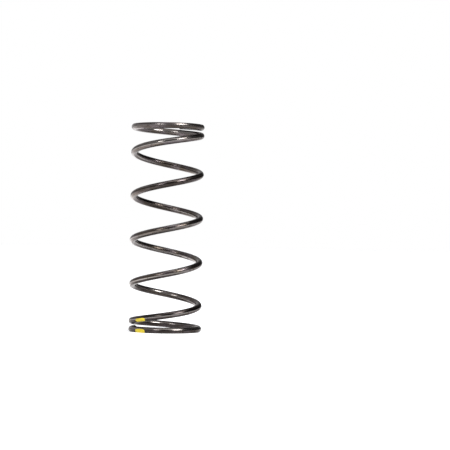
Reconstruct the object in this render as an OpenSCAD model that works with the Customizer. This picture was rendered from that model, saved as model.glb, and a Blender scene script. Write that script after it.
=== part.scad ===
// Compression spring for the oil damper of a large radio-controlled truck.
// One length of round wire, wound right-handed, with both ends closed and ground flat.
// Millimetres. +Z runs along the coil's axis, and the origin is on that axis in the lower
// ground face.
//
// A compression spring works by twisting its wire, so the wire is cut square into short
// stretches that stay rigid and come down one by one as the upper end coil comes down. Each
// swings about a level axis far out to its side, which also flattens its slope. The turns
// are counted along the wire from the lower tip (0) to the upper tip (total_coils).

/* [Wire] */
// Diameter of the round wire
wire_d = 2.7; // [2.2:0.1:3]
// Flats around the wire's section
wire_sides = 16; // [8:2:16]
// Rings of points in one turn of wire
rings_per_turn = 48; // [24:8:48]

/* [Coils] */
// Outside diameter of the coils
outside_d = 30; // [26:0.5:36]
// Height between the two ground faces
free_length = 85; // [75:1:95]
// Coils from tip to tip
total_coils = 6.75; // [5.75:0.125:7.75]
// Direction of the lower tip, in degrees from +X
lower_tip_angle = 160.5; // [0:0.5:360]

/* [Closed ends] */
// Rise of a closed end, in millimetres a turn
closed_pitch = 1.6; // [1.4:0.1:2]
// Length of wire at closed pitch at the lower end, in turns
lower_closed = 0.53; // [0.5:0.01:0.7]
// Length of wire at closed pitch at the upper end, in turns
upper_closed = 0.58; // [0.5:0.01:0.7]
// Distance from a tip at which the coils reach full pitch, in turns
full_pitch_from = 2.12; // [1.9:0.01:2.3]
// How far the lower tip is set up, closer to the next coil than an even winding
lower_set = 0.55; // [0:0.05:0.8]
// How far the upper end coil is set down, closer to the next coil than an even winding
upper_set = 0.85; // [0:0.05:0.9]
// How much further it is set down just behind its tip, to lie along the next coil
upper_nip = 0.6; // [0:0.05:0.6]
// Thickness of wire that grinding leaves at the lower tip
lower_tip_thickness = 2.28; // [1.6:0.01:2.6]
// Thickness of wire that grinding leaves at the upper tip
upper_tip_thickness = 1.04; // [0.8:0.01:1.9]

/* [Stretches] */
// Length of each rigid end coil, in turns
end_coil_turns = 1; // [1:0.125:1.25]
// Stretches in one turn of the working coils
stretches_per_turn = 8; // [8:8:16]
// Gap left at each cut, which the swinging stretches need halfway down
cut_gap = 0.12; // [0.1:0.01:0.15]

/* [Paint marks] */
// Middle of the lower mark, in turns from the lower tip (the upper mark is one turn on)
mark_turns = 0.19; // [0.155:0.005:0.22]
// Length of a mark along the wire
mark_length = 4.9; // [2:0.1:5]
// How far a mark wraps around the wire, in degrees, centred on the outside of the coil
mark_wrap = 160; // [90:10:200]
// Thickness of the dried paint
paint_film = 0.05; // [0.03:0.01:0.1]

/* [Hidden] */
wire_r = wire_d / 2;
coil_r = outside_d / 2 - wire_r;
turn_length = 2 * PI * coil_r;
half_coils = total_coils / 2;

// The setting is most at turn `at` from the tip and fades out over `reach` turns either way.
function set_share(s, at, reach) = (1 + cos(180 * min(abs(s - at) / reach, 1))) / 2;
function set_up(s) = lower_set * set_share(s, 0, 0.55);
function set_down(s) = upper_set * set_share(s, 0.4, 0.58) + upper_nip * set_share(s, 0.2, 0.2);

// Heights that the wire's centre would have at the tips without the setting.
tip_z = lower_tip_thickness - wire_r - set_up(0);
top_tip_z = free_length + wire_r - upper_tip_thickness + set_down(0);

// Each end winds from closed to full pitch along a quarter of a sine wave. This is the turns'
// worth of full pitch gained by turn s, counted from that end's tip.
function opened(s, closed) =
    let (span = full_pitch_from - closed, u = min(max((s - closed) / span, 0), 1))
    span * (1 - cos(90 * u)) * 2 / PI + max(s - full_pitch_from, 0);

opened_both = opened(half_coils, lower_closed) + opened(half_coils, upper_closed);
extra_pitch = (top_tip_z - tip_z - closed_pitch * total_coils) / opened_both;

// Height of the wire's centre at turn s, and its rise in millimetres a turn there.
function rise(s, closed) = closed_pitch * s + extra_pitch * opened(s, closed);
function wire_z(s) = s <= half_coils
    ? tip_z + rise(s, lower_closed) + set_up(s)
    : top_tip_z - rise(total_coils - s, upper_closed) - set_down(total_coils - s);
function pitch_at(s) = (wire_z(s + 0.001) - wire_z(s - 0.001)) / 0.002;

// The wire's own frame at turn s: its centre, the direction away from the coil's axis, and the
// direction across the wire that is square to both.
function turn_angle(s) = lower_tip_angle + 360 * s;
function outward(s) = [cos(turn_angle(s)), sin(turn_angle(s)), 0];
function wire_centre(s) = coil_r * outward(s) + [0, 0, wire_z(s)];
function across(s) =
    let (a = turn_angle(s), climb = atan(pitch_at(s) / turn_length))
    [sin(a) * sin(climb), -cos(a) * sin(climb), cos(climb)];
function skin_point(s, r, q) = wire_centre(s) + r * (cos(q) * outward(s) + sin(q) * across(s));

// Triangles between rings of n points each, without the two ends.
function skin_faces(rings, n) = [
    for (i = [0 : rings - 1], j = [0 : n - 1])
        let (a = i * n + j, b = i * n + (j + 1) % n)
        each [[a, b, b + n], [a, b + n, a + n]]
];

// Round wire from turn `from` to turn `to`, cut square at both ends.
module wire(from, to) {
    rings = ceil((to - from) * rings_per_turn);
    points = [
        for (i = [0 : rings], j = [0 : wire_sides - 1])
            skin_point(from + (to - from) * i / rings, wire_r, 360 * j / wire_sides)
    ];
    start = [for (j = [0 : wire_sides - 1]) wire_sides - 1 - j];
    end = [for (j = [0 : wire_sides - 1]) rings * wire_sides + j];
    polyhedron(points, concat([start], skin_faces(rings, wire_sides), [end]));
}

// The block that a grinding wheel takes away, above height z (side 1) or below it (side -1).
module ground_away(z, side) {
    block = 2 * outside_d;
    translate([-block / 2, -block / 2, side > 0 ? z : z - block]) cube(block);
}

half_gap_turns = cut_gap / 2 / turn_length;
first_cut = end_coil_turns;
last_cut = total_coils - end_coil_turns;
stretch_count = round((last_cut - first_cut) * stretches_per_turn);
stretch_turns = (last_cut - first_cut) / stretch_count;

function stretch_name(i) = str(
    "coil_", 2 + floor((i - 1) / stretches_per_turn),
    "_stretch_", 1 + (i - 1) % stretches_per_turn
);

// Paint on the outside of the wire, centred on turn `middle`.
module paint(middle) {
    along = 6;
    around = 12;
    film_in = wire_r + 0.005;
    film_out = wire_r + paint_film;
    length_turns = mark_length / turn_length;
    n = 2 * (around + 1);
    function angle(j) = mark_wrap * (j / around - 0.5);
    points = [
        for (i = [0 : along], j = [0 : n - 1])
            let (s = middle + length_turns * (i / along - 0.5))
            j <= around
                ? skin_point(s, film_out, angle(j))
                : skin_point(s, film_in, angle(n - 1 - j))
    ];
    last = along * n;
    start = [for (j = [0 : around - 1]) [n - 1 - j, n - 2 - j, j + 1, j]];
    end = [for (j = [0 : around - 1]) [last + j, last + j + 1, last + n - 2 - j, last + n - 1 - j]];
    polyhedron(points, concat(start, skin_faces(along, n), end));
}

wire_colour = "#56514d";
paint_colour = "#d8c22f";

// The lower end coil: the closed turn that stands on its seat, its underside ground flat.
module lower_end_coil() {
    color(wire_colour) difference() {
        wire(0, first_cut - half_gap_turns);
        ground_away(0, -1);
    }
}

// One rigid stretch of the working coils.
module stretch(i) {
    from = first_cut + (i - 1) * stretch_turns;
    color(wire_colour) wire(from + half_gap_turns, from + stretch_turns - half_gap_turns);
}

// The upper end coil: the closed turn under the spring cup, its top ground flat.
module upper_end_coil() {
    color(wire_colour) difference() {
        wire(last_cut + half_gap_turns, total_coils);
        ground_away(free_length, 1);
    }
}

// Yellow paint on the lower end coil, ground off flush with the end face.
module lower_paint_mark() {
    color(paint_colour) difference() {
        paint(mark_turns);
        ground_away(0, -1);
    }
}

// Yellow paint on the first working coil.
module upper_paint_mark() {
    color(paint_colour) paint(mark_turns + 1);
}

lower_end_coil();
for (i = [1 : stretch_count])
    stretch(i);
upper_end_coil();
lower_paint_mark();
upper_paint_mark();
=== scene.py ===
import math

import bmesh
import bpy
from mathutils import Matrix, Vector, noise


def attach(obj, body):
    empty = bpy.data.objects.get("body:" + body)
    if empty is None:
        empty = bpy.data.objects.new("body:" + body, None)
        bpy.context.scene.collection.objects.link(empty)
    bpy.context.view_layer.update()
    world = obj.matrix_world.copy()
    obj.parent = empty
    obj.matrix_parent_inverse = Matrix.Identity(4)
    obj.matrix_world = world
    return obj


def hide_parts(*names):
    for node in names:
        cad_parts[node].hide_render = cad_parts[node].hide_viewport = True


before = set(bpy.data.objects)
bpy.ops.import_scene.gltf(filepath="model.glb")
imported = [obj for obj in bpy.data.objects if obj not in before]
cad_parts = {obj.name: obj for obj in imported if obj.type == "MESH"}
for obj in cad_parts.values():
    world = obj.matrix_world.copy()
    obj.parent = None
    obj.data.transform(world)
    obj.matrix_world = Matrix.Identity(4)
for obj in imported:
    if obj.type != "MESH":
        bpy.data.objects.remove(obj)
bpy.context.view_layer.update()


# ---------------------------------------------------------------------------
# The spring wire. One length of oil-tempered carbon steel, drawn round to
# 2.7 mm and left uncoated: brown-grey and glossy, with lines drawn along it,
# darker streaks of tempering scale and a few small pits.
# ---------------------------------------------------------------------------
COIL_R = 0.01365  # from the coil's axis to the middle of the wire
WIRE_R = 0.00133
FREE_LENGTH = 0.085
COILS = 6.75
LOWER_TIP = 160.5  # degrees from +X
TURN_LENGTH = 2 * math.pi * COIL_R
CLOSED_PITCH = 0.0016
OPEN_PITCH = 0.0181064
LOWER_CLOSED = 0.53  # turns that stay at closed pitch
UPPER_CLOSED = 0.58
FULL_PITCH_FROM = 2.12  # turns from a tip
LOWER_TIP_Z = 0.00038  # heights of the wire's middle at the tips, before the ends are set
UPPER_TIP_Z = 0.0855
SIDES = 32
RINGS_PER_TURN = 96

# An end coil is set towards its neighbour: by how much, how many turns from the tip it is
# most, and how many turns it fades over either way.
LOWER_SET = (0.00055, 0, 0.55)
UPPER_SET = (0.00085, 0.4, 0.58)
UPPER_NIP = (0.0006, 0.2, 0.2)


def opened(turns, closed):
    """Turns' worth of full pitch gained, counted from the tip of an end closed for that many turns."""
    span = FULL_PITCH_FROM - closed
    share = min(max((turns - closed) / span, 0.0), 1.0)
    return span * (1 - math.cos(share * math.pi / 2)) * 2 / math.pi + max(turns - FULL_PITCH_FROM, 0.0)


def moved(turns, setting):
    """How far a setting moves the wire at that many turns from the tip."""
    most, at, reach = setting
    return most * ((1 + math.cos(math.pi * min(abs(turns - at) / reach, 1))) / 2)


def height(turns):
    """Height of the wire's centre."""
    gain = OPEN_PITCH - CLOSED_PITCH
    if turns <= COILS / 2:
        even = LOWER_TIP_Z + CLOSED_PITCH * turns + gain * opened(turns, LOWER_CLOSED)
        return even + moved(turns, LOWER_SET)
    left = COILS - turns
    even = UPPER_TIP_Z - CLOSED_PITCH * left - gain * opened(left, UPPER_CLOSED)
    return even - moved(left, UPPER_SET) - moved(left, UPPER_NIP)


def wire_frame(turns):
    """The wire's centre, the way out from the coil's axis, and the way across the wire square to both."""
    angle = math.radians(LOWER_TIP + 360 * turns)
    out = Vector((math.cos(angle), math.sin(angle), 0))
    centre = COIL_R * out + Vector((0, 0, height(turns)))
    step = 1e-4
    climb = math.atan2(height(turns + step) - height(turns - step), 2 * step * TURN_LENGTH)
    across = Vector((math.sin(angle) * math.sin(climb), -math.cos(angle) * math.sin(climb), math.cos(climb)))
    return centre, out, across


def on_skin(turns, around, radius):
    """A point that far from the wire's centre; around is 0 on the outside of the coil."""
    centre, out, across = wire_frame(turns)
    return centre + radius * (math.cos(around) * out + math.sin(around) * across)


class Finish:
    """One socket of a material's nodes, so that shader maths reads as ordinary sums."""

    def __init__(self, tree, socket):
        self.tree, self.socket = tree, socket

    def node(self, kind, settings=(), **inputs):
        """Adds a node: its settings first, then the values or links of its sockets."""
        made = self.tree.nodes.new(kind)
        for name, value in dict(settings).items():
            setattr(made, name, value)
        for name, value in inputs.items():
            key = int(name[1:]) if name[0] == "_" else name.replace("_", " ")
            if isinstance(value, Finish):
                self.tree.links.new(value.socket, made.inputs[key])
            else:
                made.inputs[key].default_value = value
        return made

    def take(self, kind, output, settings=(), **inputs):
        return Finish(self.tree, self.node(kind, settings, **inputs).outputs[output])

    def sum(self, operation, *terms):
        sockets = {f"_{i}": term for i, term in enumerate(terms)}
        return self.take("ShaderNodeMath", 0, {"operation": operation}, **sockets)

    def __add__(self, other):
        return self.sum("ADD", self, other)

    def __radd__(self, other):
        return self.sum("ADD", other, self)

    def __mul__(self, other):
        return self.sum("MULTIPLY", self, other)

    def __rmul__(self, other):
        return self.sum("MULTIPLY", other, self)

    def scaled(self, x, y, z):
        return self.take("ShaderNodeVectorMath", 0, {"operation": "MULTIPLY"}, _0=self, _1=(x, y, z))

    def stretched(self, along, across):
        """A place on the wire, scaled along it and across it."""
        return self.scaled(along, across, across)

    def towards(self, x, y, z):
        """How nearly this direction is the one given."""
        return self.take("ShaderNodeVectorMath", 1, {"operation": "DOT_PRODUCT"}, _0=self, _1=(x, y, z))

    def grain(self, detail, roughness):
        """Noise at this place, one cell to each unit of it."""
        return self.take("ShaderNodeTexNoise", 0, _2=1.0, _3=detail, _4=roughness, _0=self)

    def between(self, low, high):
        """0 at low and under, 1 at high and over."""
        return self.take("ShaderNodeMapRange", 0, {"interpolation_type": "SMOOTHSTEP"}, _0=self, _1=low, _2=high)

    def tint(self, low, high):
        """low where this is 0, high where it is 1; both are colours."""
        low = low if isinstance(low, Finish) else (*low, 1)
        high = high if isinstance(high, Finish) else (*high, 1)
        return self.take("ShaderNodeMix", 2, {"data_type": "RGBA"}, _0=self, _6=low, _7=high)


def new_finish(name):
    """A new material, its main shader, and a Finish to start its nodes from."""
    material = bpy.data.materials.new(name)
    material.use_nodes = True
    tree = material.node_tree
    return material, tree.nodes["Principled BSDF"], Finish(tree, None)


def apply(finish, shader, **inputs):
    """Links or sets the main shader's sockets."""
    for name, value in inputs.items():
        socket = shader.inputs[name.replace("_", " ")]
        if isinstance(value, Finish):
            finish.tree.links.new(value.socket, socket)
        else:
            socket.default_value = value


# Drawn and tempered skin. "lay" is the wire pulled straight: metres along it,
# and the place on its round section. The scales are in noise cells a metre.
drawn_steel, shader, finish = new_finish("drawn_spring_steel")
lay = finish.take("ShaderNodeAttribute", "Vector", {"attribute_name": "lay"})
draw_lines = lay.stretched(18, 1250).grain(2.0, 0.5)
fine_lines = lay.stretched(60, 5200).grain(2.0, 0.5)
streaks = lay.stretched(42, 1250).grain(3.0, 0.6)
mottle = lay.stretched(230, 420).grain(4.0, 0.6)
patches = lay.stretched(900, 1300).grain(3.0, 0.55)
scale_skin = streaks.between(0.40, 0.60) * 0.7 + mottle.between(0.35, 0.68) * 0.3
warm = mottle.between(0.4, 0.62).tint((0.074, 0.060, 0.049), (0.084, 0.071, 0.075))
steel = scale_skin.tint((0.022, 0.018, 0.016), warm)
bright_lines = draw_lines.between(0.50, 0.70)
steel = (bright_lines * 0.85).tint(steel, (0.22, 0.205, 0.195))
pits = patches.between(0.60, 0.70)
steel = (pits * 0.8).tint(steel, (0.012, 0.010, 0.009))
relief = draw_lines * 0.85 + fine_lines * 0.15
bump = finish.take("ShaderNodeBump", 0, _0=0.5, _1=0.00004, Height=relief)
apply(finish, shader, Base_Color=steel, Metallic=1.0, Normal=bump, Specular_Tint=(0.8, 0.78, 0.77, 1),
      Roughness=0.17 + scale_skin * 0.10 + pits * 0.15)

# Ground end faces: the same steel fresh from the grinding wheel, paler, with
# straight scratches where the stone went across.
ground_steel, shader, finish = new_finish("ground_end_steel")
place = finish.take("ShaderNodeTexCoord", "Object")
scratches = place.scaled(220, 9000, 220).grain(4.0, 0.7)
clouds = place.scaled(500, 500, 500).grain(3.0, 0.5)
face = scratches.between(0.3, 0.7).tint((0.20, 0.19, 0.18), (0.42, 0.41, 0.39))
face = (clouds.between(0.45, 0.7) * 0.35).tint(face, (0.13, 0.115, 0.10))
bump = finish.take("ShaderNodeBump", 0, _0=0.5, _1=0.00002, Height=scratches)
apply(finish, shader, Base_Color=face, Metallic=1.0, Normal=bump, Roughness=0.38 + clouds * 0.2)


def grind(mesh, level):
    """Takes away what is beyond a ground end face. Gives the new faces that close the cut."""
    side = 1 if level > FREE_LENGTH / 2 else -1
    everything = mesh.verts[:] + mesh.edges[:] + mesh.faces[:]
    cut = bmesh.ops.bisect_plane(mesh, geom=everything, plane_co=(0, 0, level), plane_no=(0, 0, side),
                                 clear_outer=True)
    rim = [e for e in cut["geom_cut"] if isinstance(e, bmesh.types.BMEdge)]
    if not rim:
        return []
    filled = bmesh.ops.triangle_fill(mesh, edges=rim, use_beauty=True, use_dissolve=False)
    return [face for face in filled["geom"] if isinstance(face, bmesh.types.BMFace)]


def new_piece(name, mesh, *finishes):
    """Puts a finished mesh into the scene as an object."""
    data = bpy.data.meshes.new(name)
    mesh.to_mesh(data)
    mesh.free()
    for finish in finishes:
        data.materials.append(finish)
    piece = bpy.data.objects.new(name, data)
    bpy.context.scene.collection.objects.link(piece)
    return piece


def round_wire(name, start, end, ground=None):
    """Round wire from one turn to another, closed at both ends; ground is the level of a ground end."""
    mesh = bmesh.new()
    lay_of = mesh.verts.layers.float_vector.new("lay")
    turn_of = mesh.verts.layers.float.new("turn")
    count = max(2, math.ceil((end - start) * RINGS_PER_TURN))
    rings = []
    for i in range(count + 1):
        turns = start + (end - start) * i / count
        centre, out, across = wire_frame(turns)
        ring = []
        for j in range(SIDES):
            angle = 2 * math.pi * j / SIDES
            vert = mesh.verts.new(centre + WIRE_R * (math.cos(angle) * out + math.sin(angle) * across))
            vert[lay_of] = (turns * TURN_LENGTH, WIRE_R * math.cos(angle), WIRE_R * math.sin(angle))
            vert[turn_of] = turns
            ring.append(vert)
        rings.append(ring)
    for low, high in zip(rings, rings[1:]):
        for j in range(SIDES):
            k = (j + 1) % SIDES
            mesh.faces.new((low[j], low[k], high[k], high[j])).smooth = True
    mesh.faces.new(list(reversed(rings[0])))
    mesh.faces.new(rings[-1])
    if ground is not None:
        for face in grind(mesh, ground):
            face.material_index = 1
            face.smooth = False
    bmesh.ops.recalc_face_normals(mesh, faces=mesh.faces)
    piece = new_piece(name, mesh, drawn_steel, ground_steel)
    # The skin shades as a true round, so that the stretches read as one wire.
    data = piece.data
    turn_values = data.attributes["turn"].data
    normals = [None] * len(data.loops)
    for face in data.polygons:
        for i in face.loop_indices:
            index = data.loops[i].vertex_index
            if face.use_smooth:
                centre = wire_frame(turn_values[index].value)[0]
                normals[i] = (data.vertices[index].co - centre).normalized()
            else:
                normals[i] = face.normal
    data.normals_split_custom_set(normals)
    return piece


# ---------------------------------------------------------------------------
# Lower end coil. The first turn is wound closed, so that it stands on the
# spring cup, and its underside is ground flat from the thinned tip.
# ---------------------------------------------------------------------------
FIRST_CUT = 1.0
lower_coil = round_wire("lower_end_coil_wire", 0.0, FIRST_CUT, ground=0.0)
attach(lower_coil, "lower_end_coil")
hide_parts("lower_end_coil")


# ---------------------------------------------------------------------------
# Working coils. The same wire goes on unbroken; it is in 38 short stretches
# here only so that each can come down with the spring.
# ---------------------------------------------------------------------------
LAST_CUT = 5.75
STRETCHES = 38
for i in range(STRETCHES):
    start = FIRST_CUT + (LAST_CUT - FIRST_CUT) * i / STRETCHES
    end = FIRST_CUT + (LAST_CUT - FIRST_CUT) * (i + 1) / STRETCHES
    node = f"coil_{2 + i // 8}_stretch_{1 + i % 8}"
    stretch = round_wire(node + "_wire", start, end)
    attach(stretch, node)
    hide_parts(node)


# ---------------------------------------------------------------------------
# Upper end coil. The last turn is closed too, and its top is ground flat for
# nearly the whole way round, down to a thin tip.
# ---------------------------------------------------------------------------
upper_coil = round_wire("upper_end_coil_wire", LAST_CUT, COILS, ground=FREE_LENGTH)
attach(upper_coil, "upper_end_coil")
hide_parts("upper_end_coil")


# ---------------------------------------------------------------------------
# Paint marks. Two dabs of yellow paint, brushed on the outside of the wire by
# hand to tell this rate of spring from the others. The film is thin, with an
# uneven edge, and shows the wire's lines through it.
# ---------------------------------------------------------------------------
yellow_paint, shader, finish = new_finish("yellow_marking_paint")
lay = finish.take("ShaderNodeAttribute", "Vector", {"attribute_name": "lay"})
brush = lay.stretched(260, 2600).grain(3.0, 0.6)
thin = lay.stretched(700, 900).grain(4.0, 0.6)
yellow = brush.between(0.3, 0.7).tint((0.42, 0.32, 0.010), (0.60, 0.475, 0.022))
yellow = (thin.between(0.55, 0.75) * 0.55).tint(yellow, (0.34, 0.28, 0.05))
bump = finish.take("ShaderNodeBump", 0, _0=0.5, _1=0.00003, Height=brush * 0.6 + thin * 0.4)
apply(finish, shader, Base_Color=yellow, Metallic=0.0, Roughness=0.42 + brush * 0.2, Normal=bump,
      Specular_IOR_Level=0.3)

MARK_LENGTH = 0.0049
DAB_MIDDLE = math.radians(-27)  # a little under the outermost line of the wire
PAINT_OVER = 0.001385  # radius of the film's skin, from the wire's centre
PAINT_EDGE = 0.000004  # what is left of its thickness at the edge
PAINT_UNDER = 0.00130  # its back lies inside the wire
DAB_SPOKES = 48
DAB_RINGS = 9


def paint_dab(name, middle, wrap, seed, ground=None):
    """A closed film of paint centred on one turn. It covers wrap degrees of the wire's section."""
    mesh = bmesh.new()
    lay_of = mesh.verts.layers.float_vector.new("lay")

    def unevenness(coarseness, level, c, s):
        return abs(noise.noise(Vector((coarseness * c, coarseness * s, level))))

    def point(ring, spoke, over):
        share = ring / DAB_RINGS
        angle = 2 * math.pi * spoke / DAB_SPOKES
        c, s = math.cos(angle), math.sin(angle)
        square = 1 / (abs(c) ** 4 + abs(s) ** 4) ** 0.25
        ragged = 1 - 0.10 * unevenness(2.2, seed, c, s) - 0.05 * unevenness(7, seed + 5, c, s)
        reach = share * square * ragged
        along = reach * c * MARK_LENGTH / 2
        q = DAB_MIDDLE + reach * s * math.radians(wrap) / 2
        turns = middle + along / TURN_LENGTH
        if over:
            radius = WIRE_R + PAINT_EDGE + (PAINT_OVER - WIRE_R) * (1 - share ** 5)
        else:
            radius = PAINT_UNDER
        vert = mesh.verts.new(on_skin(turns, q, radius))
        vert[lay_of] = (turns * TURN_LENGTH, WIRE_R * math.cos(q), WIRE_R * math.sin(q))
        return vert

    skins = []
    for over in (True, False):
        middle_vert = point(0, 0, over)
        rings = [[point(r, a, over) for a in range(DAB_SPOKES)] for r in range(1, DAB_RINGS + 1)]
        for a in range(DAB_SPOKES):
            b = (a + 1) % DAB_SPOKES
            mesh.faces.new((middle_vert, rings[0][a], rings[0][b]))
            for low, high in zip(rings, rings[1:]):
                mesh.faces.new((low[a], high[a], high[b], low[b]))
        skins.append(rings[-1])
    for a in range(DAB_SPOKES):
        b = (a + 1) % DAB_SPOKES
        mesh.faces.new((skins[0][a], skins[1][a], skins[1][b], skins[0][b]))
    if ground is not None:
        grind(mesh, ground)
    bmesh.ops.recalc_face_normals(mesh, faces=mesh.faces)
    for face in mesh.faces:
        face.smooth = True
    piece = new_piece(name, mesh, yellow_paint)
    return piece


LOWER_MARK = 0.19
lower_dab = paint_dab("lower_paint_dab", LOWER_MARK, 100, 3.0, ground=0.0)
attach(lower_dab, "lower_end_coil")
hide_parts("lower_paint_mark")
upper_dab = paint_dab("upper_paint_dab", LOWER_MARK + 1, 72, 11.0)
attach(upper_dab, "coil_2_stretch_2")
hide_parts("upper_paint_mark")


# ---------------------------------------------------------------------------
# The table: a plain pale sheet that the spring stands on. It is lit faintly
# through from below, which washes out the shade around the end coil.
# ---------------------------------------------------------------------------
pale_sheet, shader, finish = new_finish("pale_sheet")
place = finish.take("ShaderNodeTexCoord", "Object")
tooth = place.scaled(300, 300, 300).grain(2.0, 0.5)
sheet = tooth.tint((0.86, 0.865, 0.88), (0.88, 0.885, 0.90))
apply(finish, shader, Base_Color=sheet, Roughness=0.75, Emission_Color=(1.0, 1.0, 1.0, 1), Emission_Strength=0.30)
SHEET_R = 4.0
SHEET_CORNERS = 64
mesh = bmesh.new()
corners = [a * math.pi / (SHEET_CORNERS / 2) for a in range(SHEET_CORNERS)]
mesh.faces.new([mesh.verts.new((SHEET_R * math.cos(a), SHEET_R * math.sin(a), 0)) for a in corners])
table = new_piece("table", mesh, pale_sheet)


# ---------------------------------------------------------------------------
# Studio light: a pale room, white where it is seen, which gets dark to the
# right of the camera and has a dark corner at the back right. A broad soft
# light overhead, a soft box on either side of the camera, and a panel that
# lies on the table to the left and lights the bends from below.
# ---------------------------------------------------------------------------
world = bpy.data.worlds.new("pale_room")
bpy.context.scene.world = world
world.use_nodes = True
tree = world.node_tree
room = Finish(tree, None)
backdrop = tree.nodes["Background"]
way = room.take("ShaderNodeTexCoord", "Generated")
front_right = way.towards(0.70, -0.70, -0.10)
back_right = way.towards(0.76, 0.46, 0.46)
dark = front_right.between(-0.7, 0.6) * 0.78 + back_right.between(0.30, 0.85) * 0.9
glow = dark.tint((0.88, 0.88, 0.90), (0.09, 0.09, 0.093))
seen = room.take("ShaderNodeLightPath", "Is Camera Ray")
colour = seen.tint(glow, (1.0, 1.0, 1.0))
tree.links.new(colour.socket, backdrop.inputs["Color"])
backdrop.inputs["Strength"].default_value = 1.0

sky = bpy.data.lights.new("overhead_light", "SUN")
sky.angle = math.radians(50)
sky.energy = 1.5
lamp = bpy.data.objects.new("overhead_light", sky)
lamp.rotation_euler = Vector((-0.15, 0.10, -0.98)).to_track_quat("-Z", "Y").to_euler()
bpy.context.scene.collection.objects.link(lamp)


def soft_box(name, place, wide, tall, watts, aim=(0, 0, 0.045)):
    """A soft box that faces the spring, or another aim, and stays out of sight itself."""
    light = bpy.data.lights.new(name, "AREA")
    light.shape = "RECTANGLE"
    light.size, light.size_y = wide, tall
    light.energy = watts
    box = bpy.data.objects.new(name, light)
    box.location = place
    box.rotation_euler = (Vector(aim) - Vector(place)).to_track_quat("-Z", "Y").to_euler()
    box.visible_camera = False
    bpy.context.scene.collection.objects.link(box)


soft_box("key_box", (0.66, -0.64, 0.62), 0.48, 0.34, 14.0)
soft_box("left_key_box", (-0.42, -0.85, 0.60), 0.30, 0.24, 4.0)
soft_box("low_box", (-0.34, 0.05, 0.003), 0.62, 0.7, 2.4, aim=(-0.34, 0.05, 1.0))


# ---------------------------------------------------------------------------
# Camera: level with the middle of the spring, a little to its right.
# ---------------------------------------------------------------------------
lens = bpy.data.cameras.new("camera")
lens.lens = 127.16
lens.sensor_width = 36
lens.clip_start, lens.clip_end = 0.01, 50
camera = bpy.data.objects.new("camera", lens)
camera.matrix_world = (
    Matrix.Translation((0.02402, -0.6529, 0.04013))
    @ Matrix.Rotation(math.pi / 2 + 0.00614, 4, "X")
    @ Matrix.Rotation(0.016576, 4, "Z")
)
bpy.context.scene.collection.objects.link(camera)
bpy.context.scene.camera = camera
bpy.context.scene.view_settings.view_transform = "Standard"
bpy.context.scene.view_settings.look = "None"
